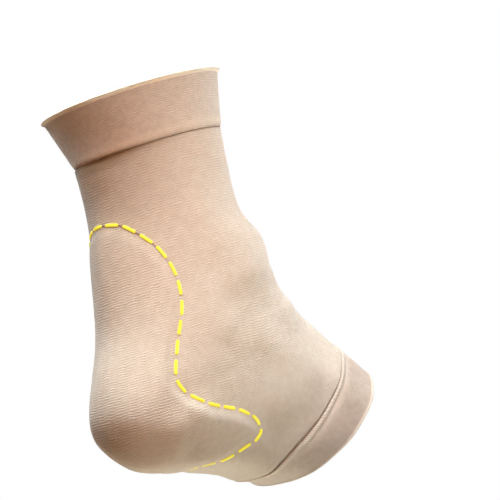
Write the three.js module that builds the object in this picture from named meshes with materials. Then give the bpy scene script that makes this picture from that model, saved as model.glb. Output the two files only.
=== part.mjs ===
// Achilles gel sleeve, in the form that it has when worn: a knitted tube that bends round the heel,
// a doubled cuff on the lower leg, a doubled band on the midfoot, and inside the tube a soft gel pad
// that lies behind the tendon and cups the heel.
//
// Millimetres. +X points to the toes, +Y to the outer side of a left foot, and +Z up. The sleeve is
// the same on both sides of the plane Y = 0. The origin is the heel seat, the lowest point of the
// hollow, where the wearer's heel rests on the pad.

import * as THREE from 'three';
import { ParametricGeometry } from 'three/addons/geometries/ParametricGeometry.js';
import * as BufferGeometryUtils from 'three/addons/utils/BufferGeometryUtils.js';

// Walls and clearances
const KNIT_WALL = 1.4;
const CUFF_WALL = 2.6;
const BAND_WALL = 2.2;
const PAD_THICK = 3.0;
const PAD_GAP = 0.8; // between the pad and the knit, wide enough for the facets of both
const PAD_EDGE_INSET = 1.2; // by which the pad's thin edge lies deeper than its middle

// The outer skin runs through these sections, from the top rim to the toe-side rim. Each one is a
// flat oval: its front and back points in the plane Y = 0, its half width, the share of the way from
// back to front where it is widest, and the powers that round its front and back halves (2 is an
// ellipse, and more is squarer). A station counts the sections, and may lie between two of them.
const SECTION_COLUMNS = ['frontX', 'frontZ', 'backX', 'backZ', 'half', 'widest', 'frontPower', 'backPower'];
const SECTIONS = {
  cuffRim:    [ 29.0, 185.5, -51.0, 153.5, 41.5, 0.50, 2.1, 2.0],
  cuffMiddle: [ 30.5, 173.0, -42.0, 142.5, 38.0, 0.50, 2.1, 2.0],
  cuffSeam:   [ 33.0, 158.5, -36.0, 131.5, 34.0, 0.51, 2.1, 1.9],
  legNarrow:  [ 37.0, 142.5, -32.5, 119.0, 32.0, 0.52, 2.1, 1.9],
  legLow:     [ 44.5, 121.5, -31.0, 100.5, 31.0, 0.53, 2.1, 1.8],
  ankleBulge: [ 57.5, 109.0, -29.5,  82.0, 34.0, 0.54, 2.0, 1.8],
  ankleBend:  [ 63.0,  95.0, -26.2,  58.5, 35.0, 0.54, 2.0, 1.9],
  heelTop:    [ 69.0,  87.5, -28.0,  34.0, 34.0, 0.52, 2.0, 2.0],
  heelBack:   [ 77.0,  82.5, -27.0,  10.0, 33.0, 0.50, 2.1, 2.2],
  heelSole:   [ 84.5,  78.0,  -9.5,  -3.5, 31.5, 0.48, 2.1, 2.3],
  arch:       [ 92.0,  73.0,  26.0,  -2.5, 31.0, 0.47, 2.1, 2.4],
  bandSeam:   [102.0,  65.5,  57.0,  -3.0, 33.5, 0.46, 2.1, 2.5],
  bandRim:    [117.0,  54.5,  75.5,  -4.5, 38.5, 0.46, 2.1, 2.5],
};
const STATION = Object.fromEntries(Object.keys(SECTIONS).map((name, index) => [name, index]));

// The pad's edge, from its top down to the tips of its wings: how far it reaches round each side of
// the sleeve from the back line, in degrees, and the height of the step that it makes in the knit.
// Under the sole its front edge is notched.
const PAD_COLUMNS = ['station', 'reach', 'step'];
const PAD_OUTLINE = [
  [ 3.90,  6.0, 0.6],
  [ 4.00, 22.0, 0.6],
  [ 4.22, 32.0, 0.7],
  [ 4.60, 41.5, 0.8],
  [ 5.00, 47.5, 0.9],
  [ 5.50, 52.0, 1.0],
  [ 6.20, 53.5, 1.2],
  [ 7.40, 52.0, 1.6],
  [ 7.90, 55.5, 1.8],
  [ 8.40, 62.0, 2.0],
  [ 9.10, 71.0, 2.0],
  [ 9.60, 69.0, 1.7],
  [ 9.90, 63.0, 1.5],
  [10.06, 57.0, 1.3],
  [10.10, 49.0, 1.2],
];
const PAD_NOTCH = 0.27; // stations from the wing tips back to the middle of the front edge
const PAD_TOP = PAD_OUTLINE[0][0];
const PAD_TIP = PAD_OUTLINE.at(-1)[0];

// The knit dips in a crease along the pad's edge, and is raised over the pad
const CREASE_SHARE = 0.4; // of the step
const CREASE_INSIDE = 6; // from the crease to the full rise
const CREASE_OUTSIDE = 10; // over which the dip fades away from the pad
const MM_PER_DEGREE = 0.7; // round the sleeve, beside the pad
const MM_PER_STATION = 30; // along the back line, at the pad's ends

// Hollows, swells and folds of the worn knit, alike on both sides: each follows a line between two
// places, and fades out over its width. A positive rise stands out, a negative one is a dent.
const FOLD_COLUMNS = ['station', 'angle', 'toStation', 'toAngle', 'width', 'rise'];
const FOLDS = {
  belowCuff:   [ 2.35, 172,  2.35, 172, 11,  1.5],
  abovePad:    [ 3.75, 180,  3.75, 168, 12, -0.9],
  lowerLeg:    [ 4.02, 101,  4.02, 101, 13,  1.7],
  tendonFlat:  [ 5.05, 168,  5.05, 168, 12, -0.6],
  ankleFront:  [ 5.12,  45,  5.12,  45,  9,  0.6],
  boneHollow:  [ 5.60, 106,  5.60, 106,  9, -0.8],
  frontSwell:  [ 5.95,  74,  5.95,  74,  7,  1.2],
  frontDent:   [ 6.30,  70,  6.55,  92,  7, -1.5],
  heelHollow:  [ 6.40, 180,  6.60, 150, 12, -0.8],
  ankleBone:   [ 6.95, 106,  7.25,  97,  9,  0.7],
  heelBack:    [ 7.20, 180,  7.20, 180, 10,  0.8],
  instepTop:   [ 7.30,  30,  7.30,  30, 10,  0.8],
  lowerDent:   [ 7.92,  96,  7.92,  96,  7, -0.6],
  instepRidge: [ 8.20,  76,  9.80,  72,  8,  1.5],
  heelSwell:   [ 8.66, 126,  8.78, 140,  9,  2.6],
  wingSwell:   [ 8.60, 120,  9.50, 118,  7,  1.0],
  wingHollow:  [ 8.80, 152,  9.15, 144,  8, -1.6],
  soleSwell:   [ 9.50, 148, 10.00, 152,  7,  1.5],
  instepFull:  [ 8.10,  46,  8.90,  56,  9,  0.9],
  instepSide:  [ 9.84,  86,  9.84,  86, 12,  1.0],
  archHollow:  [10.20, 118, 10.85, 108,  9, -1.5],
  beforeBand:  [10.85,  88, 10.70, 128,  8, -1.2],
  bandSole:    [10.98, 165, 10.98, 180,  6,  1.2],
  bandTop:     [11.20,  44, 11.50,  44,  8,  0.8],
  bandSide:    [11.00,  80, 12.00,  80, 11,  1.1],
  bandRim:     [11.90,  95, 11.90, 116,  8, -0.6],
  bandArch:    [11.00, 128, 12.00, 126, 11, -1.1],
};

// How finely the skins are cut
const AROUND = 48;
const BODY_ROWS = [3, 3, 3, 4, 4, 4, 5, 6, 4]; // from each section to the next, between the seams
const PAD_ROWS = 24;
const PAD_ACROSS = 16;

const named = (columns, values) => Object.fromEntries(columns.map((column, i) => [column, values[i]]));
const sections = Object.values(SECTIONS).map((values) => named(SECTION_COLUMNS, values));
const folds = Object.values(FOLDS).map((values) => named(FOLD_COLUMNS, values));
const padOutline = PAD_OUTLINE.map((values) => named(PAD_COLUMNS, values));

const splineThrough = (rows, first, second) =>
  new THREE.SplineCurve(rows.map((row) => new THREE.Vector2(row[first], row[second])));
const frontLine = splineThrough(sections, 'frontX', 'frontZ');
const backLine = splineThrough(sections, 'backX', 'backZ');
const widthLine = splineThrough(sections, 'half', 'widest');
const powerLine = splineThrough(sections, 'frontPower', 'backPower');
const padEdgeLine = splineThrough(padOutline, 'station', 'reach');

const { clamp, degToRad, lerp, smoothstep } = THREE.MathUtils;
const signedPower = (value, power) => Math.sign(value) * Math.abs(value) ** power;

// A point of the smooth skin. The angle, in degrees, runs from the front over the outer side to the
// back at 180.
function skinPoint(station, angle) {
  const t = clamp(station / (sections.length - 1), 0, 1);
  const forward = Math.cos(degToRad(angle));
  const sideways = Math.sin(degToRad(angle));
  const { x: half, y: widest } = widthLine.getPoint(t);
  const powers = powerLine.getPoint(t);
  const power = 2 / (forward >= 0 ? powers.x : powers.y);
  const reach = signedPower(forward, power) * (forward >= 0 ? 1 - widest : widest);
  const middle = backLine.getPoint(t).lerp(frontLine.getPoint(t), widest + reach);
  return new THREE.Vector3(middle.x, half * signedPower(sideways, power), middle.y);
}

function skinNormal(station, angle) {
  const step = 0.02; // stations
  const turn = 1; // degrees
  const along = skinPoint(station + step, angle).sub(skinPoint(station - step, angle));
  const round = skinPoint(station, angle + turn).sub(skinPoint(station, angle - turn));
  return along.cross(round).normalize();
}

const fromBack = (angle) => Math.abs(180 - (((angle % 360) + 360) % 360));

// A column of the pad's outline at a station, or at the nearer end of the pad
function padAt(station, column) {
  const high = Math.max(1, padOutline.findIndex((row) => row.station >= clamp(station, PAD_TOP, PAD_TIP)));
  const [from, to] = [padOutline[high - 1], padOutline[high]];
  const share = clamp((station - from.station) / (to.station - from.station), 0, 1);
  return lerp(from[column], to[column], share);
}

// The distance in millimetres from a place on the skin to the pad's edge, negative outside the pad
function insidePad(station, angle) {
  const aside = fromBack(angle);
  const frontEdge = PAD_TIP - PAD_NOTCH * Math.max(0, 1 - (aside / padOutline.at(-1).reach) ** 2);
  return Math.min(
    (padAt(station, 'reach') - aside) * MM_PER_DEGREE,
    (station - PAD_TOP) * MM_PER_STATION,
    (frontEdge - station) * MM_PER_STATION,
  );
}

function padRelief(station, angle) {
  const step = padAt(station, 'step');
  const inside = insidePad(station, angle);
  if (inside < 0) return -CREASE_SHARE * step * Math.exp(inside / CREASE_OUTSIDE);
  return step * (smoothstep(inside, 0, CREASE_INSIDE) - CREASE_SHARE);
}

function foldRelief(point) {
  const mirrored = new THREE.Vector3(point.x, Math.abs(point.y), point.z);
  let rise = 0;
  for (const fold of folds) {
    const line = new THREE.Line3(
      skinPoint(fold.station, fold.angle),
      skinPoint(fold.toStation, fold.toAngle),
    );
    const nearest = line.closestPointToPoint(mirrored, true, new THREE.Vector3());
    rise += fold.rise * Math.exp(-((nearest.distanceTo(mirrored) / fold.width) ** 2));
  }
  return rise;
}

// A point of the finished sleeve at a depth below its outer face
function sleevePoint(station, angle, depth) {
  const point = skinPoint(station, angle);
  const rise = padRelief(station, angle) + foldRelief(point);
  return point.addScaledVector(skinNormal(station, angle), rise - depth);
}

// One closed skin from pieces whose edges meet
function closedSkin(...geometries) {
  for (const geometry of geometries) {
    geometry.deleteAttribute('normal');
    geometry.deleteAttribute('uv');
  }
  const skin = BufferGeometryUtils.mergeVertices(BufferGeometryUtils.mergeGeometries(geometries), 1e-3);
  skin.computeVertexNormals();
  return skin;
}

// A ring of wall: a closed profile, a list of [station, depth below the skin], swept round the sleeve
function ringWall(profile) {
  const sweep = (u, v, target) => {
    const [station, depth] = profile[Math.round(v * profile.length) % profile.length];
    target.copy(sleevePoint(station, -(u % 1) * 360, depth));
  };
  return closedSkin(new ParametricGeometry(sweep, AROUND, profile.length));
}

// The knitted tube ends just short of the cuff and of the band, and is pinched where it meets them
function knitBody() {
  const seamGap = 0.025; // stations
  const pinch = 0.7;
  const stations = BODY_ROWS.flatMap((count, interval) =>
    Array.from({ length: count }, (_, row) => STATION.cuffSeam + interval + row / count),
  );
  stations[0] = STATION.cuffSeam + seamGap;
  stations.push(STATION.bandSeam - seamGap);
  const depthAt = (i) => (i === 0 || i === stations.length - 1 ? pinch : 0);
  const outer = stations.map((station, i) => [station, depthAt(i)]);
  const inner = stations.map((station, i) => [station, depthAt(i) / 2 + KNIT_WALL]);
  return ringWall([...outer, ...inner.reverse()]);
}

// The cuff is folded double: a rounded fold on top, and a full lip over the seam below
function topCuff() {
  const { cuffRim, cuffSeam } = STATION;
  return ringWall([
    [cuffRim, 0.7],
    [cuffRim + 0.1, 0],
    [cuffRim + 0.5, 0],
    [cuffRim + 1.0, 0.1],
    [cuffRim + 1.4, 0],
    [cuffSeam - 0.25, -0.5],
    [cuffSeam - 0.1, -0.4],
    [cuffSeam, 0.7],
    [cuffSeam, CUFF_WALL - 0.6],
    [cuffSeam - 0.15, CUFF_WALL],
    [cuffRim + 1.2, CUFF_WALL],
    [cuffRim + 0.6, CUFF_WALL],
    [cuffRim + 0.1, CUFF_WALL],
    [cuffRim, CUFF_WALL - 0.7],
  ]);
}

// The band is folded double too: a ridge along its seam, and a thin folded rim towards the toes
function footBand() {
  const { bandSeam, bandRim } = STATION;
  return ringWall([
    [bandSeam, 0.7],
    [bandSeam + 0.06, -0.3],
    [bandSeam + 0.16, -0.5],
    [bandSeam + 0.3, 0],
    [bandSeam + 0.6, 0.1],
    [bandRim - 0.07, 0],
    [bandRim, 0.6],
    [bandRim, BAND_WALL - 0.6],
    [bandRim - 0.07, BAND_WALL],
    [bandSeam + 0.5, BAND_WALL],
    [bandSeam + 0.1, BAND_WALL],
    [bandSeam, BAND_WALL - 0.5],
  ]);
}

// The pad is a pillow: an outer and an inner face that meet along its edge
function gelPad() {
  const notchFrom = 0.75; // share of the way down the outline
  const sideTaper = 4; // powers by which it thins to its sides and to its ends
  const endTaper = 8;
  const face = (side) => (u, v, target) => {
    const across = side * (1 - 2 * u);
    const { x: station, y: reach } = padEdgeLine.getPoint(v);
    const notch = PAD_NOTCH * smoothstep(v, notchFrom, 1) * (1 - across ** 2);
    const fullness = (1 - across ** sideTaper) * (1 - (2 * v - 1) ** endTaper);
    const outerDepth = KNIT_WALL + PAD_GAP + PAD_EDGE_INSET * (1 - fullness);
    const depth = outerDepth + (side < 0 ? PAD_THICK * fullness : 0);
    target.copy(sleevePoint(station - notch, 180 + across * reach, depth));
  };
  return closedSkin(
    new ParametricGeometry(face(1), PAD_ACROSS, PAD_ROWS),
    new ParametricGeometry(face(-1), PAD_ACROSS, PAD_ROWS),
  );
}

const knitMaterial = new THREE.MeshStandardMaterial({ color: '#dcbfa5', roughness: 0.9, metalness: 0 });
const weltMaterial = new THREE.MeshStandardMaterial({ color: '#d2b194', roughness: 0.9, metalness: 0 });
const gelMaterial = new THREE.MeshStandardMaterial({ color: '#ece4d2', roughness: 0.35, metalness: 0 });

function piece(name, geometry, material) {
  const mesh = new THREE.Mesh(geometry, material);
  mesh.name = name;
  return mesh;
}

const sleeve = new THREE.Group();
sleeve.name = 'achilles_gel_sleeve';
sleeve.add(
  piece('knit_body', knitBody(), knitMaterial),
  piece('top_cuff', topCuff(), weltMaterial),
  piece('foot_band', footBand(), weltMaterial),
  piece('gel_pad', gelPad(), gelMaterial),
);

export default sleeve;
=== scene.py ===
"""The looks of the Achilles gel sleeve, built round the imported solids.

The tables are in millimetres and degrees and repeat the shape that the solids have. Each soft piece
replaces its solid with a finer mesh of the same form: the knitted tube with its folds and the step over
the pad, the doubled cuff and band with their seams, and the gel pad. The stitches along the band's seam
and the dashed marking round the pad lie on top of them.
"""
from math import cos, pi, radians, sin

import bpy
import numpy as np
from mathutils import Matrix, Vector, kdtree

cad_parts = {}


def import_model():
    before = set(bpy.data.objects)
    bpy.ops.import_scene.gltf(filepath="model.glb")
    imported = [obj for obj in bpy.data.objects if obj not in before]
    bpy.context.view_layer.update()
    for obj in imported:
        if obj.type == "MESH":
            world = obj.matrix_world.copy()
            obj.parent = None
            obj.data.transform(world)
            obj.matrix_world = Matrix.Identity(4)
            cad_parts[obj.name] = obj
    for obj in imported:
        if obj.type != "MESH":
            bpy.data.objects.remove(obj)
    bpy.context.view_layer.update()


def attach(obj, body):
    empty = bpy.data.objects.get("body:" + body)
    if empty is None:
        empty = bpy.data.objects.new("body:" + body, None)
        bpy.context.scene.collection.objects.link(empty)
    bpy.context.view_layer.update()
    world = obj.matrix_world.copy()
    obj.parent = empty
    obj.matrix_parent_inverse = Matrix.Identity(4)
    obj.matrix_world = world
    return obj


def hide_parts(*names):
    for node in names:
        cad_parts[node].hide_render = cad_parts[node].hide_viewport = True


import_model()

BODY = "root"
MM = 0.001

# Angles round the sleeve run from the front line, at 0, over the +Y side to the back line
BACK, FULL_TURN = 180, 360

# Walls and clearances
KNIT_WALL = 1.4
CUFF_WALL = 2.6
BAND_WALL = 2.2
PAD_THICK = 3.0
PAD_GAP = 0.8
PAD_EDGE_INSET = 1.2

# The sections of the outer skin, from the top rim to the toe-side rim; a station counts them
SECTIONS = np.array([
    # front x, front z, back x, back z, half width, widest at, front power, back power
    [29.0, 185.5, -51.0, 153.5, 41.5, 0.50, 2.1, 2.0],
    [30.5, 173.0, -42.0, 142.5, 38.0, 0.50, 2.1, 2.0],
    [33.0, 158.5, -36.0, 131.5, 34.0, 0.51, 2.1, 1.9],
    [37.0, 142.5, -32.5, 119.0, 32.0, 0.52, 2.1, 1.9],
    [44.5, 121.5, -31.0, 100.5, 31.0, 0.53, 2.1, 1.8],
    [57.5, 109.0, -29.5, 82.0, 34.0, 0.54, 2.0, 1.8],
    [63.0, 95.0, -26.2, 58.5, 35.0, 0.54, 2.0, 1.9],
    [69.0, 87.5, -28.0, 34.0, 34.0, 0.52, 2.0, 2.0],
    [77.0, 82.5, -27.0, 10.0, 33.0, 0.50, 2.1, 2.2],
    [84.5, 78.0, -9.5, -3.5, 31.5, 0.48, 2.1, 2.3],
    [92.0, 73.0, 26.0, -2.5, 31.0, 0.47, 2.1, 2.4],
    [102.0, 65.5, 57.0, -3.0, 33.5, 0.46, 2.1, 2.5],
    [117.0, 54.5, 75.5, -4.5, 38.5, 0.46, 2.1, 2.5],
])
CUFF_RIM, CUFF_SEAM, BAND_SEAM, BAND_RIM = 0, 2, 11, 12
SEAM_GAP = 0.025  # stations between the tube and the cuff or band

# The pad's edge: station, degrees round each side from the back line, height of the step in the knit
PAD_OUTLINE = np.array([
    [3.90, 6.0, 0.6], [4.00, 22.0, 0.6], [4.22, 32.0, 0.7], [4.60, 41.5, 0.8], [5.00, 47.5, 0.9],
    [5.50, 52.0, 1.0], [6.20, 53.5, 1.2], [7.40, 52.0, 1.6], [7.90, 55.5, 1.8], [8.40, 62.0, 2.0],
    [9.10, 71.0, 2.0], [9.60, 69.0, 1.7], [9.90, 63.0, 1.5], [10.06, 57.0, 1.3], [10.10, 49.0, 1.2],
])
PAD_NOTCH = 0.27  # stations from the wing tips back to the middle of the front edge
CREASE_SHARE = 0.4  # of the step, below the skin along the pad's edge
CREASE_INSIDE = 6  # the step rises over this length inside the edge
CREASE_OUTSIDE = 10  # and the crease fades out over this length outside it

# Hollows and folds of the worn knit, mirrored on the far side
FOLDS = np.array([
    # station, angle, to station, to angle, width, rise
    [2.35, 172, 2.35, 172, 11, 1.5],  # fullness below the cuff, at the back
    [3.75, 180, 3.75, 168, 12, -0.9],  # hollow above the pad
    [4.02, 101, 4.02, 101, 13, 1.7],  # swell of the sides, high up
    [5.05, 168, 5.05, 168, 12, -0.6],  # flat along the back line
    [5.12, 45, 5.12, 45, 9, 0.6],  # bulge at the front bend
    [5.60, 106, 5.60, 106, 9, -0.8],  # hollow of the sides
    [5.95, 40, 6.05, 40, 6, 0.6],  # below the bulge at the front bend
    [5.95, 74, 5.95, 74, 7, 1.2],  # swell in front of that hollow
    [5.78, 39, 6.58, 53, 4, -0.5],  # tuck below the bulge
    [6.30, 70, 6.55, 92, 7, -1.5],  # dent in front of the side swell
    [6.40, 180, 6.60, 150, 12, -0.8],  # hollow above the heel
    [6.95, 106, 7.25, 97, 9, 0.7],  # side swell, half way down the pad
    [7.00, 70, 7.60, 96, 5, -0.8],  # fold on the instep
    [7.20, 180, 7.20, 180, 10, 0.8],  # back of the heel
    [7.30, 30, 7.30, 30, 10, 0.8],  # fullness on top of the instep
    [7.92, 96, 7.92, 96, 7, -0.6],  # dent below the side swell
    [8.20, 76, 9.80, 72, 8, 1.5],  # ridge on the instep
    [7.05, 40, 7.25, 60, 2, 0.25],  # small tuck at the bend of the instep
    [7.30, 36, 7.50, 58, 1.8, -0.35],  # and the crease below that tuck
    [8.10, 46, 8.90, 56, 9, 0.9],  # fullness of the instep
    [8.30, 84, 8.18, 113, 4, -0.4],  # fold above the wing
    [8.05, 128, 8.05, 128, 6, -0.6],  # dip where the heel swells out
    [8.66, 126, 8.78, 140, 9, 2.6],  # swell of the heel
    [8.20, 153, 8.60, 137, 6, 0.6],  # low ridge where the heel turns under
    [8.05, 172, 8.05, 172, 6, -0.6],  # the heel's lower back, rounder
    [8.98, 180, 9.20, 180, 7, 0.6],  # under the heel, fuller
    [10.15, 180, 10.30, 180, 6, -0.5],  # and shallower before the arch
    [8.40, 112, 8.40, 112, 7, 0.4],  # fullness above the wing
    [8.60, 120, 9.50, 118, 7, 1.0],  # swell along the wing
    [8.80, 152, 9.15, 144, 8, -1.6],  # hollow under the heel and the wing
    [9.50, 148, 10.00, 152, 7, 1.5],  # swell beside the sole
    [9.84, 86, 9.84, 86, 12, 1.0],  # swell of the instep
    [10.20, 118, 10.85, 108, 9, -1.5],  # hollow of the arch
    [10.80, 88, 10.62, 128, 9, -2.2],  # drawn in before the band
    [10.98, 165, 10.98, 180, 6, 1.2],  # the sole before the band
    [11.00, 80, 12.00, 80, 11, 1.1],  # fullness of the band over the instep
    [11.20, 44, 11.50, 44, 8, 0.8],  # the top of the band
    [11.90, 95, 11.90, 116, 8, -0.6],  # the band's rim beside the arch
    [11.00, 128, 12.00, 126, 11, -1.1],  # the band under the arch
])
SHORTEST_FOLD = 1e-9  # squared length that stands for a fold at one point

# How finely the pieces are cut: points round the sleeve, and lengths from row to row
AROUND = 300
ROW_STEP = 1.15
INNER_STEP = 6.0
WELT_STEP = 0.45
LENGTH_SAMPLES = 600

# The knit: loops round the sleeve, and lengths from row to row
WALES = 230
COURSE = 1.15
WELT_COURSE = COURSE * 0.9


def spline(rows, position):
    """A smooth curve through the rows, at row numbers that may lie between two rows."""
    last = len(rows) - 1
    position = np.clip(position, 0, last)
    low = np.minimum(position.astype(int), last - 1)
    t = (position - low)[..., None]
    before, start, end, after = (rows[np.clip(low + k, 0, last)] for k in (-1, 0, 1, 2))
    leave, arrive = (end - before) / 2, (after - start) / 2
    return (start + leave * t + (3 * (end - start) - 2 * leave - arrive) * t**2
            + (2 * (start - end) + leave + arrive) * t**3)


def signed_power(value, power):
    return np.sign(value) * np.abs(value) ** power


def smoothstep(value, low, high):
    t = np.clip((value - low) / (high - low), 0, 1)
    return t * t * (3 - 2 * t)


def bell(distance, width):
    """1 at no distance, falling off smoothly over the width."""
    return np.exp(-((distance / width) ** 2))


def unit(vectors):
    return vectors / np.linalg.norm(vectors, axis=-1, keepdims=True)


def travelled_along(points):
    """The length from the first of a line of points to each of them."""
    return np.concatenate([[0], np.cumsum(np.linalg.norm(np.diff(points, axis=0), axis=1))])


def skin(station, angle):
    """Points of the smooth outer skin."""
    station, angle = np.broadcast_arrays(np.asarray(station, float), np.asarray(angle, float))
    front_x, front_z, back_x, back_z, half, widest, front_power, back_power = np.moveaxis(
        spline(SECTIONS, station), -1, 0)
    forward, sideways = np.cos(np.radians(angle)), np.sin(np.radians(angle))
    power = 2 / np.where(forward >= 0, front_power, back_power)
    share = widest + signed_power(forward, power) * np.where(forward >= 0, 1 - widest, widest)
    return np.stack([back_x + (front_x - back_x) * share,
                     half * signed_power(sideways, power),
                     back_z + (front_z - back_z) * share], axis=-1)


def skin_normals(station, angle, step=0.02, turn=1.0):
    """Outward unit normals of the skin, from points a small step and turn apart."""
    along = skin(station + step, angle) - skin(station - step, angle)
    round_ = skin(station, angle + turn) - skin(station, angle - turn)
    return unit(np.cross(along, round_))


class PadEdge:
    """The closed line of the pad's edge on the skin, cut into many short steps."""

    def __init__(self, samples=900, crown_samples=90):
        side = spline(PAD_OUTLINE[:, :2], np.linspace(0, len(PAD_OUTLINE) - 1, samples))
        top, tip = side[0], side[-1]
        reach = np.linspace(tip[1], -tip[1], samples)
        sole = np.stack([tip[0] - PAD_NOTCH * (1 - (reach / tip[1]) ** 2), reach], axis=-1)
        across = np.linspace(-top[1], top[1], crown_samples)
        crown = np.stack([np.full(len(across), top[0]), across], axis=-1)
        far_side = side[::-1] * (1, -1)
        loop = np.concatenate([side, sole[1:-1], far_side, crown[1:-1]])
        self.station, self.angle = loop[:, 0], BACK + loop[:, 1]
        self.points = skin(self.station, self.angle)
        self.side, self.tip = side, tip
        self.tree = kdtree.KDTree(len(loop))
        for index, point in enumerate(self.points):
            self.tree.insert(point, index)
        self.tree.balance()

    def inside(self, station, angle):
        aside = np.abs(BACK - np.mod(angle, FULL_TURN))
        reach = np.interp(station, self.side[:, 0], self.side[:, 1])
        front = self.tip[0] - PAD_NOTCH * np.maximum(0, 1 - (aside / self.tip[1]) ** 2)
        return (aside < reach) & (station > self.side[0, 0]) & (station < front)

    def distance(self, station, angle, points):
        """Lengths from the edge, positive inside the pad."""
        station, angle = np.broadcast_arrays(station, angle)
        away = [self.tree.find(point)[2] for point in points.reshape(-1, 3)]
        away = np.array(away).reshape(points.shape[:-1])
        return np.where(self.inside(station, angle), away, -away)


PAD_EDGE = PadEdge()


def pad_relief(station, angle, points):
    """The step that the pad raises in the knit, and the crease along its edge."""
    inside = PAD_EDGE.distance(station, angle, points)
    step = np.interp(station, PAD_OUTLINE[:, 0], PAD_OUTLINE[:, 2])
    dip = -CREASE_SHARE * step * np.exp(np.minimum(inside, 0) / CREASE_OUTSIDE)
    return dip + step * smoothstep(inside, 0, CREASE_INSIDE)


def fold_relief(points):
    """The rise of all the folds together."""
    mirrored = points * (1, 0, 1) + np.abs(points) * (0, 1, 0)
    rise = np.zeros(points.shape[:-1])
    for station, angle, to_station, to_angle, width, height in FOLDS:
        start, end = skin(station, angle), skin(to_station, to_angle)
        line = end - start
        share = np.clip((mirrored - start) @ line / max(line @ line, SHORTEST_FOLD), 0, 1)
        away = np.linalg.norm(mirrored - start - share[..., None] * line, axis=-1)
        rise = rise + height * bell(away, width)
    return rise


def sleeve(station, angle, depth=0.0):
    """Points of the worn sleeve at a depth below its outer face."""
    station, angle = np.broadcast_arrays(np.asarray(station, float), np.asarray(angle, float))
    points = skin(station, angle)
    rise = pad_relief(station, angle, points) + fold_relief(points)
    return points + skin_normals(station, angle) * (rise - depth)[..., None]


def lengths_from_rim(stations):
    """The length from the cuff's rim along the sleeve to each station, at every angle."""
    steps = np.linalg.norm(np.diff(skin(stations[:, None], ANGLES), axis=0), axis=-1)
    return np.vstack([np.zeros(AROUND), np.cumsum(steps, axis=0)])


ANGLES = np.arange(AROUND) * FULL_TURN / AROUND
LONG_STATIONS = np.linspace(CUFF_RIM, BAND_RIM, LENGTH_SAMPLES)
WALE_LENGTHS = lengths_from_rim(LONG_STATIONS)
LONG_LENGTHS = WALE_LENGTHS.mean(axis=1)

# How strong the crease under the cuff is, at every angle
CREASE_LEAST, CREASE_AT, CREASE_SPREAD = 0.15, 192, 48
CREASE_ROUND = CREASE_LEAST + (1 - CREASE_LEAST) * bell(ANGLES - CREASE_AT, CREASE_SPREAD)

# How strong the groove before the band is: it fades out up the sides and towards the sole's middle
GROOVE_LEAST, SIDE_NONE, SIDE_FULL, SOLE_NONE, SOLE_FULL = 0.12, 105, 50, 10, 30
ASIDE = np.abs(BACK - ANGLES)
GROOVE_FADES = smoothstep(ASIDE, SIDE_NONE, SIDE_FULL) * smoothstep(ASIDE, SOLE_NONE, SOLE_FULL)
GROOVE_ROUND = GROOVE_LEAST + (1 - GROOVE_LEAST) * GROOVE_FADES

# Where the cuff lies close on the tube, at one side of its seam
CLOSE_AT, CLOSE_SPREAD = 138, 40
CLOSE_ROUND = bell(ANGLES - CLOSE_AT, CLOSE_SPREAD)


def length_at(station):
    """The length along the sleeve to a station, averaged over the girth."""
    return np.interp(station, LONG_STATIONS, LONG_LENGTHS)


def station_at(length):
    return np.interp(length, LONG_LENGTHS, LONG_STATIONS)


def even_stations(first, last, step):
    start, end = length_at(first), length_at(last)
    return station_at(np.linspace(start, end, round((end - start) / step) + 1))


def add_piece(name, points, faces, material, uv=None):
    """A smooth mesh piece in metres that rides on the sleeve's body."""
    mesh = bpy.data.meshes.new(name)
    mesh.from_pydata((np.asarray(points) * MM).tolist(), [], [list(face) for face in faces])
    if uv is not None:
        layer = mesh.uv_layers.new(name="knit")
        layer.data.foreach_set("uv", np.asarray(uv, np.float32).ravel())
    mesh.polygons.foreach_set("use_smooth", [True] * len(mesh.polygons))
    mesh.materials.append(material)
    mesh.validate()
    mesh.update()
    piece = bpy.data.objects.new(name, mesh)
    bpy.context.scene.collection.objects.link(piece)
    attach(piece, BODY)
    return piece


def ring_faces(rows, columns):
    """Quads of a grid that closes on itself both ways, facing out, as corner row and column numbers."""
    row, column = np.meshgrid(np.arange(rows), np.arange(columns), indexing="ij")
    corner_rows = np.stack([row, row + 1, row + 1, row], axis=-1).reshape(-1, 4)
    corner_columns = np.stack([column, column, column + 1, column + 1], axis=-1).reshape(-1, 4)
    return corner_rows, corner_columns


def painted_seam_shade(stations):
    """How strongly painted shade darkens the knit, from 0 to 1: most in the crease under the cuff and in
    the groove before the band, and a little on the stretch of the tube beside each of them."""
    lip_width, crease_width, crease_widens = 1.1, 1.2, 6.6
    groove_width, groove_share = 0.9, 0.65
    cuff_painted_shade_length, cuff_painted_shade_share = 50, 0.32
    band_painted_shade_length, band_painted_shade_share = 32, 0.17
    lengths = length_at(stations)[:, None]
    below_cuff = lengths - length_at(CUFF_SEAM)
    before_band = length_at(BAND_SEAM) - lengths
    width = np.where(below_cuff < 0, lip_width, crease_width + crease_widens * CREASE_ROUND)
    # Painted shade in the crease under the cuff and in the groove before the band
    crease = CREASE_ROUND * bell(below_cuff, width)
    groove = groove_share * GROOVE_ROUND * bell(before_band, groove_width)
    # Painted shade over a wide stretch of the tube below the cuff and before the band
    cuff_painted_shade = cuff_painted_shade_share * CREASE_ROUND * bell(below_cuff, cuff_painted_shade_length)
    band_painted_shade = band_painted_shade_share * GROOVE_ROUND * bell(before_band, band_painted_shade_length)
    on_tube = (below_cuff > 0) & (before_band > 0)
    tone = np.where(on_tube, np.maximum(cuff_painted_shade, band_painted_shade), 0)
    return np.maximum(np.maximum(crease, groove), tone)


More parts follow.
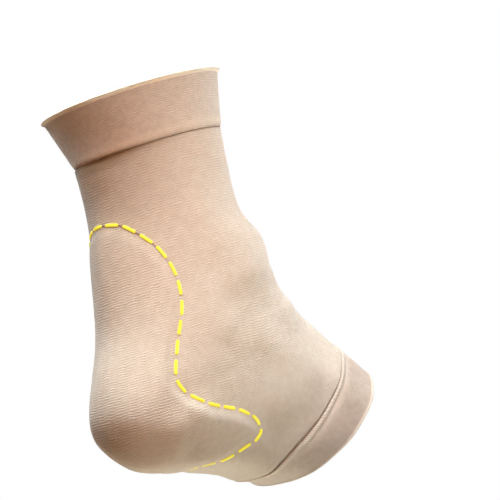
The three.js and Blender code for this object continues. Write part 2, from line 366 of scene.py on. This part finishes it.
def ring_piece(name, stations, depths, material, slot):
    """A wall round the sleeve: a closed profile of stations and depths, swept through every angle.
    The depths have a row for each station, with one value or one for each angle."""
    along = stations[:, None]
    points = sleeve(along, ANGLES, depths)
    rows, columns = ring_faces(len(stations), AROUND)
    faces = (rows % len(stations)) * AROUND + columns % AROUND
    lengths = length_at(np.append(stations, stations[0]))
    uv = np.stack([columns / AROUND, lengths[rows]], axis=-1)
    piece = add_piece(name, points.reshape(-1, 3), faces, material, uv)
    wales = [np.interp(stations, LONG_STATIONS, wale) for wale in WALE_LENGTHS.T]
    fields = {
        "pad_edge": PAD_EDGE.distance(along, ANGLES, skin(along, ANGLES)),
        "wale_length": np.transpose(wales),
        # Painted shade at the seams, held at each point
        "painted_seam_shade": painted_seam_shade(stations),
    }
    for field, values in fields.items():
        attribute = piece.data.attributes.new(field, "FLOAT", "POINT")
        attribute.data.foreach_set("value", values.astype(np.float32).ravel())
    return piece


def rounded(corners, step, rounds=3):
    """A closed profile of stations and depths with its corners cut round, in even steps."""
    near, far = 0.75, 0.25
    path = np.array([[length_at(station), depth] for station, depth in corners])
    for _ in range(rounds):
        following = np.roll(path, -1, axis=0)
        path = np.stack([near * path + far * following, far * path + near * following], axis=1)
        path = path.reshape(-1, 2)
    closed = np.vstack([path, path[:1]])
    travelled = travelled_along(closed)
    marks = np.linspace(0, travelled[-1], round(travelled[-1] / step), endpoint=False)
    lengths, depths = (np.interp(marks, travelled, closed[:, k]) for k in (0, 1))
    return station_at(lengths), depths[:, None]


def knit_sleeve(material):
    """The knitted tube. Both of its ends are drawn in where they meet the cuff and the band."""
    fine_at_cuff, fine_at_band = 0.5, 0.3
    cuff_dip, cuff_dip_length, close_share = 1.7, 2.4, 0.7
    band_dip, band_dip_length = 0.6, 1.2
    first, last = CUFF_SEAM + SEAM_GAP, BAND_SEAM - SEAM_GAP
    near_cuff, near_band = first + fine_at_cuff, last - fine_at_band
    cuff_dip_round = cuff_dip * CREASE_ROUND * (1 - close_share * CLOSE_ROUND)

    def dip(stations):
        lengths = length_at(stations)[:, None]
        at_cuff = bell(lengths - length_at(first), cuff_dip_length)
        at_band = bell(length_at(last) - lengths, band_dip_length)
        return cuff_dip_round * at_cuff + band_dip * GROOVE_ROUND * at_band

    outer = np.concatenate([even_stations(first, near_cuff, WELT_STEP)[:-1],
                            even_stations(near_cuff, near_band, ROW_STEP),
                            even_stations(near_band, last, WELT_STEP)[1:]])
    inner = even_stations(first, last, INNER_STEP)[::-1]
    depths = np.concatenate([dip(outer), dip(inner) + KNIT_WALL])
    piece = ring_piece("knit_sleeve", np.concatenate([outer, inner]), depths, material, "knit")
    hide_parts("knit_body")


def leg_cuff(material):
    """The doubled cuff: a thin folded rim, and a lip over the seam that lies close on one side."""
    corners = [
        # station, depth: the rim, the outer face, the lip, the seam allowance and the inner face
        [CUFF_RIM, 1.1], [CUFF_RIM, -0.7], [CUFF_RIM + 0.08, -1.0], [CUFF_RIM + 0.12, 0.2],
        [CUFF_RIM + 0.5, 0.1], [CUFF_RIM + 1.0, 0.1], [CUFF_RIM + 1.4, 0.0], [CUFF_SEAM - 0.4, -0.2],
        [CUFF_SEAM - 0.2, -0.3], [CUFF_SEAM - 0.05, 0.1], [CUFF_SEAM + 0.01, 0.8], [CUFF_SEAM, 1.6],
        [CUFF_SEAM - 0.02, 3.6],
        [CUFF_SEAM + 0.2, 3.6], [CUFF_SEAM + 0.2, 4.2], [CUFF_SEAM - 0.1, 4.2],
        [CUFF_SEAM - 0.3, CUFF_WALL], [CUFF_RIM + 1.2, CUFF_WALL], [CUFF_RIM + 0.6, CUFF_WALL],
        [CUFF_RIM + 0.1, CUFF_WALL], [CUFF_RIM, CUFF_WALL - 0.5],
    ]
    lip_drawn_in, lip_length, inner_depth, outer_depth = 0.7, 6.0, 1.6, 0.8
    stations, depths = rounded(corners, WELT_STEP)
    from_seam = length_at(stations)[:, None] - length_at(CUFF_SEAM)
    outer_face = smoothstep(depths, inner_depth, outer_depth)
    close = outer_face * bell(from_seam, lip_length) * CLOSE_ROUND
    piece = ring_piece("leg_cuff", stations, depths + lip_drawn_in * close, material, "welt")
    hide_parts("top_cuff")


def midfoot_band(material):
    """The doubled band: a low ridge along its seam, and a thin folded rim at its open end."""
    corners = [
        # station, depth: the ridge, the outer face, the rim, the inner face and the seam allowance
        [BAND_SEAM, 0.9], [BAND_SEAM + 0.01, -0.1], [BAND_SEAM + 0.05, -0.35], [BAND_SEAM + 0.09, 0.1],
        [BAND_SEAM + 0.13, 0.4], [BAND_SEAM + 0.2, 0.1], [BAND_SEAM + 0.3, -0.1], [BAND_SEAM + 0.5, 0.1],
        [BAND_RIM - 0.1, 0.2],
        [BAND_RIM - 0.08, -0.3], [BAND_RIM, -0.3], [BAND_RIM, 0.7],
        [BAND_RIM, BAND_WALL - 0.5], [BAND_RIM - 0.07, BAND_WALL], [BAND_SEAM + 0.5, BAND_WALL],
        [BAND_SEAM + 0.1, 3.2], [BAND_SEAM - 0.2, 3.2], [BAND_SEAM - 0.2, 2.6], [BAND_SEAM, 2.6],
    ]
    piece = ring_piece("midfoot_band", *rounded(corners, WELT_STEP), material, "welt")
    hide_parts("foot_band")


def grid_faces(numbers, flip):
    """Quads of a grid of point numbers, turned over where flip is true."""
    corners = [numbers[:-1, :-1], numbers[1:, :-1], numbers[1:, 1:], numbers[:-1, 1:]]
    return np.stack(corners[::-1] if flip else corners, axis=-1).reshape(-1, 4)


def heel_gel_pad(material, rows=120, across=96):
    """The pad: an outer and an inner face that meet along its rounded edge."""
    notch_from, side_taper, end_taper = 0.75, 4, 8
    v = np.linspace(0, 1, rows + 1)[:, None]
    w = np.linspace(1, -1, across + 1)[None, :]
    station, reach, _ = np.moveaxis(spline(PAD_OUTLINE, v * (len(PAD_OUTLINE) - 1)), -1, 0)
    station = station - PAD_NOTCH * smoothstep(v, notch_from, 1) * (1 - w**2)
    fullness = (1 - w**side_taper) * (1 - (2 * v - 1) ** end_taper)
    outer_depth = KNIT_WALL + PAD_GAP + PAD_EDGE_INSET * (1 - fullness)
    angle = BACK + w * reach
    outer = sleeve(station, angle, outer_depth).reshape(-1, 3)
    inner = sleeve(station, angle, outer_depth + PAD_THICK * fullness)
    number = np.arange((rows + 1) * (across + 1)).reshape(rows + 1, across + 1)
    edge = np.ones_like(number, bool)
    edge[1:-1, 1:-1] = False
    inner_number = np.where(edge, number, 0)
    inner_number[~edge] = len(outer) + np.arange((~edge).sum())
    points = np.concatenate([outer, inner[~edge]])
    faces = np.concatenate([grid_faces(number, True), grid_faces(inner_number, False)])
    piece = add_piece("heel_gel_pad", points, faces, material)
    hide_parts("gel_pad")


def bar_faces(first, rings, sides):
    """Quads round a bar whose rings of points start at a number, and its two ends."""
    faces = []
    last = first + (rings - 1) * sides
    for low in range(first, last, sides):
        high = low + sides
        for k in range(sides):
            following = (k + 1) % sides
            faces.append([low + k, low + following, high + following, high + k])
    faces.append(list(range(first, first + sides))[::-1])
    faces.append(list(range(last, last + sides)))
    return faces


def bars(name, paths, material, *, width, height, lift, bluntness, sides):
    """Short threads that lie on the sleeve, one along each path of stations and angles."""
    section_power, least_size = 0.5, 0.02
    ring = np.arange(sides) * 2 * pi / sides
    across = signed_power(np.cos(ring), section_power)[None, :, None] * width / 2
    over = signed_power(np.sin(ring), section_power)[None, :, None] * height / 2
    points, faces = [], []
    for path in paths:
        station, angle = path.T
        centres = sleeve(station, angle, -lift)
        normal = skin_normals(station, angle)
        aside = unit(np.cross(normal, unit(np.gradient(centres, axis=0))))
        t = np.linspace(-1, 1, len(path))
        size = np.maximum(1 - np.abs(t) ** bluntness, least_size) ** (1 / bluntness)
        offsets = aside[:, None] * across + normal[:, None] * over
        first = sum(len(block) for block in points)
        points.append((centres[:, None] + offsets * size[:, None, None]).reshape(-1, 3))
        faces.extend(bar_faces(first, len(path), sides))
    add_piece(name, np.concatenate(points), faces, material)


def band_stitches(material):
    """Slanted stitches over the ridge along the band's seam."""
    girth_stitches, slant, samples = 150, 1.4, 7
    stitch_from, stitch_to = BAND_SEAM + 0.005, BAND_SEAM + 0.08
    stations = np.linspace(stitch_from, stitch_to, samples)
    paths = []
    for k in range(girth_stitches):
        angle = FULL_TURN * k / girth_stitches
        paths.append(np.stack([stations, np.linspace(angle, angle + slant, samples)], axis=-1))
    bars("band_stitches", paths, material,
         width=0.5, height=0.4, lift=0.08, bluntness=3, sides=8)


def pad_marking(material):
    """The dashed line round the pad's edge."""
    dash, gap, first, samples = 6.65, 2.5, 2.0, 15
    closed = np.append(np.arange(len(PAD_EDGE.points)), 0)
    travelled = travelled_along(PAD_EDGE.points[closed])
    count = round(travelled[-1] / (dash + gap))
    pitch = travelled[-1] / count
    paths = []
    for k in range(count):
        marks = first + np.linspace(k * pitch, k * pitch + dash, samples)
        station = np.interp(marks, travelled, PAD_EDGE.station[closed])
        angle = np.interp(marks, travelled, PAD_EDGE.angle[closed])
        paths.append(np.stack([station, angle], axis=-1))
    bars("pad_marking", paths, material,
         width=1.45, height=0.7, lift=0.18, bluntness=10, sides=12)


class Surface:
    """A Principled material, with short calls for the nodes that feed it."""

    MIX_SHARE, MIX_FIRST, MIX_SECOND, MIX_COLOUR = 0, 6, 7, 2  # sockets of a Mix node set to colours

    def __init__(self, name, sockets):
        self.material = bpy.data.materials.new(name)
        self.material.use_nodes = True
        self.tree = self.material.node_tree
        self.shader = self.tree.nodes["Principled BSDF"]
        for socket, value in sockets.items():
            self.shader.inputs[socket].default_value = value

    def feed(self, socket, value):
        if isinstance(value, bpy.types.NodeSocket):
            self.tree.links.new(value, socket)
        else:
            socket.default_value = value

    def node(self, kind, inputs=None, **settings):
        node = self.tree.nodes.new("ShaderNode" + kind)
        for name, value in settings.items():
            setattr(node, name, value)
        for name, value in (inputs or {}).items():
            self.feed(node.inputs[name], value)
        return node

    def math(self, operation, *values):
        node = self.node("Math", operation=operation)
        for socket, value in zip(node.inputs, values):
            self.feed(socket, value)
        return node.outputs[0]

    def value(self, name):
        """A value that the mesh holds at each of its points."""
        return self.node("Attribute", attribute_name=name).outputs["Fac"]

    def woven_place(self):
        """How far round the sleeve, from 0 to 1, and how far along it, in millimetres."""
        uv = self.node("UVMap", uv_map="knit").outputs["UV"]
        split = self.node("SeparateXYZ", {"Vector": uv})
        return split.outputs["X"], split.outputs["Y"]

    def noise(self, scale, detail):
        place = self.node("TexCoord").outputs["Object"]
        return self.node("TexNoise", {"Vector": place, "Scale": scale, "Detail": detail}).outputs["Fac"]

    def spread(self, value, low, high):
        """The value from low to high, drawn out to 0 to 1."""
        return self.node("MapRange", {"Value": value, "From Min": low, "From Max": high}).outputs["Result"]

    def patches(self, scale, detail, low, high):
        """Noise drawn out to patches of 0 and 1 that run into each other."""
        return self.spread(self.noise(scale, detail), low, high)

    def after(self, value, mark, soft):
        """From 0 to 1 as the value passes a mark, over a soft edge."""
        return self.spread(value, mark - soft, mark + soft)

    def before(self, value, mark, soft):
        """From 1 to 0 as the value passes a mark, over a soft edge."""
        return self.spread(value, mark + soft, mark - soft)

    def mix(self, share, first, second):
        node = self.node("Mix", data_type="RGBA")
        for index, value in ((self.MIX_SHARE, share), (self.MIX_FIRST, first), (self.MIX_SECOND, second)):
            self.feed(node.inputs[index], value)
        return node.outputs[self.MIX_COLOUR]

    def finish(self, colour, height, distance, strength):
        """The material with its colour, and a bump from the height over a distance in metres."""
        bump = self.node("Bump", {"Height": height, "Distance": distance, "Strength": strength})
        self.feed(self.shader.inputs["Base Color"], colour)
        self.feed(self.shader.inputs["Normal"], bump.outputs["Normal"])
        return self.material


# Finish and colours of the knit, each a darker and a paler one for the yarn and for the space between the
# yarns, whose darker colour is painted shade
KNIT_FINISH = {
    "Roughness": 0.95, "Specular IOR Level": 0.15, "Sheen Weight": 0.35, "Sheen Roughness": 0.4,
}
KNIT_BUMP = {"distance": 0.0003, "strength": 0.6}
KNIT_YARNS = (0.80, 0.68, 0.56, 1), (0.91, 0.81, 0.69, 1)
KNIT_GAP_SHADES = (0.56, 0.45, 0.35, 1), (0.60, 0.50, 0.40, 1)
WELT_YARNS = (0.74, 0.63, 0.53), (0.90, 0.79, 0.68)
WELT_GAP_SHADES = (0.55, 0.44, 0.35), (0.60, 0.49, 0.40)
# The band's tint makes its welt darker and greyer than the cuff's: painted shade
CUFF_TINT, BAND_SHADE_TINT = (1.0, 1.0, 1.0), (0.86, 0.81, 0.79)
# Colour of the painted shade in the crease along the pad's edge
PAD_CREASE_SHADE = (0.36, 0.25, 0.19, 1)
# Colour of the painted shade at the seams and on the tube beside them
PAINTED_SHADE = (0.26, 0.15, 0.065, 1)
# Colour of the painted highlight on the rims, the band's seam and the cuff's lip
EDGE_HIGHLIGHT = (0.97, 0.87, 0.72, 1)


def stitches(surface, wales, course):
    """The height of a plain knit, from 0 between the yarns to 1 on top of them."""
    slope, middle, half, detail = 0.5, 0.5, 0.5, 3
    sway_scale, sway_wales = 160, 2.2
    drift_scale, drift_rows = 330, 1.6
    clear_scale, clear_low, clear_high = 420, 0.3, 0.62
    column_share = 0.3
    turn, _ = surface.woven_place()
    sway = surface.math("SUBTRACT", surface.noise(sway_scale, detail), middle)
    drift = surface.math("SUBTRACT", surface.noise(drift_scale, detail), middle)
    wale = surface.math("MULTIPLY_ADD", turn, wales, surface.math("MULTIPLY", sway, sway_wales))
    row = surface.math("MULTIPLY_ADD", surface.value("wale_length"), 1 / course,
                       surface.math("MULTIPLY", drift, drift_rows))
    loop_leg = surface.math("PINGPONG", wale, half)
    slanted = surface.math("MULTIPLY_ADD", loop_leg, slope, row)
    wave = surface.math("SINE", surface.math("MULTIPLY", slanted, 2 * pi))
    clear = surface.patches(clear_scale, detail, clear_low, clear_high)
    yarn = surface.math("MULTIPLY_ADD", surface.math("MULTIPLY", wave, clear), half, middle)
    column = surface.math("SINE", surface.math("MULTIPLY", loop_leg, 2 * pi))
    return surface.math(
        "MULTIPLY", yarn, surface.math("MULTIPLY_ADD", column, column_share, 1 - column_share))


def knit_material():
    """The tube's knit, with a crease inside the upper edge of the pad that dips its bump and is darkened
    with painted shade, and painted shade at the seams and between the yarns.
    """
    crease_centre, crease_half_width, crease_core, crease_height = 0.5, 0.9, 0.1, -1.5
    crease_full, crease_gone = (float(length_at(station)) for station in (4.3, 5.9))
    surface = Surface("beige_knit", KNIT_FINISH)
    height = stitches(surface, WALES, COURSE)
    tone = surface.patches(scale=45, detail=4, low=0.3, high=0.7)
    mottle = surface.patches(scale=330, detail=3, low=0.35, high=0.65)
    # Painted shade between the yarns
    colour = surface.mix(height, surface.mix(tone, *KNIT_GAP_SHADES), surface.mix(mottle, *KNIT_YARNS))
    _, length = surface.woven_place()
    off = surface.math("ABSOLUTE", surface.math("SUBTRACT", surface.value("pad_edge"), crease_centre))
    crease = surface.math("MULTIPLY", surface.spread(off, crease_half_width, crease_core),
                          surface.spread(length, crease_gone, crease_full))
    # Painted shade in the crease along the pad's edge
    crease_shaded = surface.mix(crease, colour, PAD_CREASE_SHADE)
    shaded = surface.mix(surface.value("painted_seam_shade"), crease_shaded, PAINTED_SHADE)
    pressed = surface.math("MULTIPLY_ADD", crease, crease_height, height)
    return surface.finish(shaded, pressed, **KNIT_BUMP)


def painted_edge_highlights(surface):
    """Where a painted highlight makes the doubled knit paler: along the folded rims, the band's seam and
    the cuff's lip.
    """
    rim_width, toe_rim_width, soft = 2.0, 1.0, 0.35
    seam_stations, seam_soft = 0.16, 1.8
    lip_far, lip_near, lip_soft = 4.5, 1.8, 1.2
    toe_share, seam_share, lip_share = 0.6, 0.3, 0.3
    ends = CUFF_SEAM, BAND_SEAM, BAND_SEAM + seam_stations, BAND_RIM
    cuff_seam, seam_from, seam_to, toe_rim = (float(length_at(station)) for station in ends)
    _, length = surface.woven_place()
    toe = surface.after(length, toe_rim - toe_rim_width, soft)
    seam = surface.math("MULTIPLY", surface.after(length, seam_from, soft),
                        surface.before(length, seam_to, seam_soft))
    lip = surface.math("MULTIPLY", surface.after(length, cuff_seam - lip_far, lip_soft),
                       surface.before(length, cuff_seam - lip_near, lip_soft))
    pale = surface.before(length, rim_width, soft)
    for part, share in ((toe, toe_share), (seam, seam_share), (lip, lip_share)):
        pale = surface.math("MAXIMUM", pale, surface.math("MULTIPLY", part, share))
    return pale


def welt_material(name, tint):
    """The doubled knit of the cuff or the band, with painted highlights along its edges, painted shade at
    its seams and between its yarns, and for the band a tint of painted shade.
    """
    shade_share = 0.5
    yarns, gap_shades = (
        [(*(channel * share for channel, share in zip(colour, tint)), 1) for colour in colours]
        for colours in (WELT_YARNS, WELT_GAP_SHADES))
    surface = Surface(name, KNIT_FINISH)
    height = stitches(surface, WALES, WELT_COURSE)
    tone = surface.patches(scale=60, detail=4, low=0.25, high=0.75)
    mottle = surface.patches(scale=380, detail=3, low=0.35, high=0.65)
    # Painted shade between the yarns
    colour = surface.mix(height, surface.mix(tone, *gap_shades), surface.mix(mottle, *yarns))
    # Painted highlight along the rims, the band's seam and the cuff's lip
    edge_highlighted = surface.mix(painted_edge_highlights(surface), colour, EDGE_HIGHLIGHT)
    shade = surface.math("MULTIPLY", surface.value("painted_seam_shade"), shade_share)
    return surface.finish(surface.mix(shade, edge_highlighted, PAINTED_SHADE), height, **KNIT_BUMP)


def thread_material(name, dark, pale, sockets):
    """A thread whose fibres show in its colour and its bump."""
    surface = Surface(name, sockets)
    fibre = surface.noise(scale=1800, detail=3)
    colour = surface.mix(surface.spread(fibre, low=0.35, high=0.65), dark, pale)
    return surface.finish(colour, fibre, distance=0.0002, strength=0.4)


def stitch_material():
    """The cream thread of the band's seam."""
    sockets = {"Roughness": 0.8, "Sheen Weight": 0.2}
    return thread_material("cream_thread", (0.78, 0.67, 0.56, 1), (0.90, 0.79, 0.68, 1), sockets)


def marking_material():
    """The yellow thread of the dashes, with a painted glow of its own though it is no lamp."""
    sockets = {
        "Roughness": 0.7, "Sheen Weight": 0.1,
        # A painted glow that brightens the dashes
        "Emission Color": (1.0, 0.86, 0.03, 1), "Emission Strength": 0.4,
    }
    return thread_material("yellow_thread", (0.78, 0.66, 0.03, 1), (0.82, 0.72, 0.05, 1), sockets)


def gel_material():
    """Milky gel, a little cloudy."""
    dark, pale = (0.80, 0.74, 0.60, 1), (0.88, 0.84, 0.72, 1)
    surface = Surface("milky_gel", {"Roughness": 0.35, "Subsurface Weight": 0.4, "Subsurface Scale": 0.003})
    cloud = surface.patches(scale=70, detail=4, low=0.3, high=0.7)
    grain = surface.noise(scale=500, detail=3)
    return surface.finish(surface.mix(cloud, dark, pale), grain, distance=0.0002, strength=0.2)


def camera():
    """The photograph's view: from behind, from the -Y side and from below."""
    aim = Vector((61.2, 0.0, 107.3)) * MM
    distance, azimuth, elevation, roll = 0.8788, radians(42.42), radians(-16.34), radians(2.19)
    focal_pixels, frame_pixels = 1826.1, 500
    sensor_width, clip_end = 36, 50
    back = Vector((-sin(azimuth) * cos(elevation), -cos(azimuth) * cos(elevation), sin(elevation)))
    level = Vector((cos(azimuth), -sin(azimuth), 0))
    upright = back.cross(level)
    right = cos(roll) * level - sin(roll) * upright
    up = sin(roll) * level + cos(roll) * upright
    data = bpy.data.cameras.new("camera")
    data.sensor_width = sensor_width
    data.lens = focal_pixels / frame_pixels * sensor_width
    data.clip_end = clip_end
    eye = bpy.data.objects.new("camera", data)
    turned = Matrix((right, up, back)).transposed().to_4x4()
    eye.matrix_world = Matrix.Translation(aim + back * distance) @ turned
    bpy.context.scene.collection.objects.link(eye)
    bpy.context.scene.camera = eye


# Softboxes: their colours, the places on the sleeve that they are aimed at, and their beams in degrees
WHITE, COOL, WARM_WHITE = (0.94, 0.98, 1.0), (0.88, 1.0, 0.92), (1.0, 0.9, 0.7)
WARM, AMBER = (1.0, 0.47, 0.25), (1.0, 0.42, 0.05)
MIDDLE, BELOW_CUFF, SIDE = (30, 0, 90), (0, -20, 140), (30, -20, 120)
HEEL, ARCH, WING, SOLE = (-10, -10, 0), (118, -15, 0), (45, -20, 15), (60, -10, 0)
WIDE, NARROW, NARROWER, NARROWEST = 180, 45, 30, 24
LIGHTS = {
    # azimuth and elevation seen from the aim, with azimuth 0 on the -Y side and 90 on +X, then
    # distance and size in metres, power, colour, aim, beam
    "key_light": (-45, 65, 1.2, 0.6, 12.0, WHITE, MIDDLE, WIDE),
    "front_key": (-30, 45, 1.2, 0.6, 3.0, WHITE, MIDDLE, WIDE),
    "right_key": (5, 45, 1.2, 0.6, 1.2, WHITE, MIDDLE, WIDE),
    "camera_fill": (-42, 0, 1.2, 0.6, 1.2, WHITE, MIDDLE, WIDE),
    "left_light": (-120, 50, 1.2, 0.6, 8.6, WHITE, MIDDLE, WIDE),
    "top_light": (-90, 75, 1.2, 0.6, 7.5, WHITE, MIDDLE, WIDE),
    "top_right": (60, 65, 1.2, 0.6, 1.6, WHITE, MIDDLE, WIDE),
    "far_light": (165, 25, 1.2, 0.6, 5.0, WHITE, MIDDLE, WIDE),
    "right_rim": (85, 10, 1.2, 0.6, 3.4, WHITE, MIDDLE, WIDE),
    "right_low": (100, -20, 1.2, 0.6, 2.9, WHITE, MIDDLE, WIDE),
    "leg_light": (5, 40, 0.5, 0.2, 0.06, WHITE, SIDE, NARROW),
    "leg_fill": (-30, -25, 0.5, 0.2, 0.055, WARM, BELOW_CUFF, NARROWER),
    "heel_fill": (-60, -50, 0.4, 0.15, 0.012, AMBER, HEEL, NARROWER),
    "arch_fill": (70, -60, 0.5, 0.2, 0.09, COOL, ARCH, NARROWEST),
    "under_fill": (138, -32, 0.5, 0.3, 0.17, WARM_WHITE, SOLE, NARROWER),
    "wing_fill": (-35, 30, 0.5, 0.15, 0.024, WHITE, WING, NARROWER),
}


def lights():
    for name, (azimuth, elevation, distance, size, power, colour, aim, beam) in LIGHTS.items():
        a, e = radians(azimuth), radians(elevation)
        away = Vector((sin(a) * cos(e), -cos(a) * cos(e), sin(e)))
        data = bpy.data.lights.new(name, "AREA")
        data.size, data.energy, data.color, data.spread = size, power, colour, radians(beam)
        lamp = bpy.data.objects.new(name, data)
        lamp.location = Vector(aim) * MM + away * distance
        lamp.rotation_euler = away.to_track_quat("Z", "Y").to_euler()
        bpy.context.scene.collection.objects.link(lamp)


def world():
    """White behind the object, and a dimmer warm light from all round."""
    white, warm, warm_strength = (1, 1, 1, 1), (1.0, 0.90, 0.78, 1), 0.01
    room = bpy.data.worlds.new("studio")
    room.use_nodes = True
    tree = room.node_tree
    seen = tree.nodes["Background"]
    seen.inputs["Color"].default_value = white
    light = tree.nodes.new("ShaderNodeBackground")
    light.inputs["Color"].default_value = warm
    light.inputs["Strength"].default_value = warm_strength
    path = tree.nodes.new("ShaderNodeLightPath")
    choice = tree.nodes.new("ShaderNodeMixShader")
    tree.links.new(path.outputs["Is Camera Ray"], choice.inputs["Fac"])
    tree.links.new(light.outputs[0], choice.inputs[1])
    tree.links.new(seen.outputs[0], choice.inputs[2])
    tree.links.new(choice.outputs[0], tree.nodes["World Output"].inputs["Surface"])
    bpy.context.scene.world = room
    bpy.context.scene.view_settings.view_transform = "Standard"


def floor():
    """A pale floor, well below the worn sleeve, sized in metres."""
    height, half = -0.25, 6.0
    dark, pale = (0.03, 0.03, 0.03, 1), (0.05, 0.05, 0.05, 1)
    sockets = {
        "Roughness": 0.9, "Specular IOR Level": 0.0,
        "Emission Color": (0.95, 0.95, 0.94, 1), "Emission Strength": 0.8,
    }
    surface = Surface("pale_floor", sockets)
    tone = surface.noise(scale=3, detail=3)
    material = surface.finish(surface.mix(tone, dark, pale), tone, distance=0.001, strength=0.1)
    corners = [(-half, -half, height), (half, -half, height), (half, half, height), (-half, half, height)]
    mesh = bpy.data.meshes.new("floor")
    mesh.from_pydata(corners, [], [(0, 1, 2, 3)])
    mesh.materials.append(material)
    ground = bpy.data.objects.new("floor", mesh)
    ground.visible_diffuse = ground.visible_shadow = False
    bpy.context.scene.collection.objects.link(ground)


camera()
world()
lights()
floor()
knit_sleeve(knit_material())
leg_cuff(welt_material("cuff_welt", CUFF_TINT))
# The band's welt, darkened with painted shade
midfoot_band(welt_material("band_welt", BAND_SHADE_TINT))
band_stitches(stitch_material())
heel_gel_pad(gel_material())
pad_marking(marking_material())
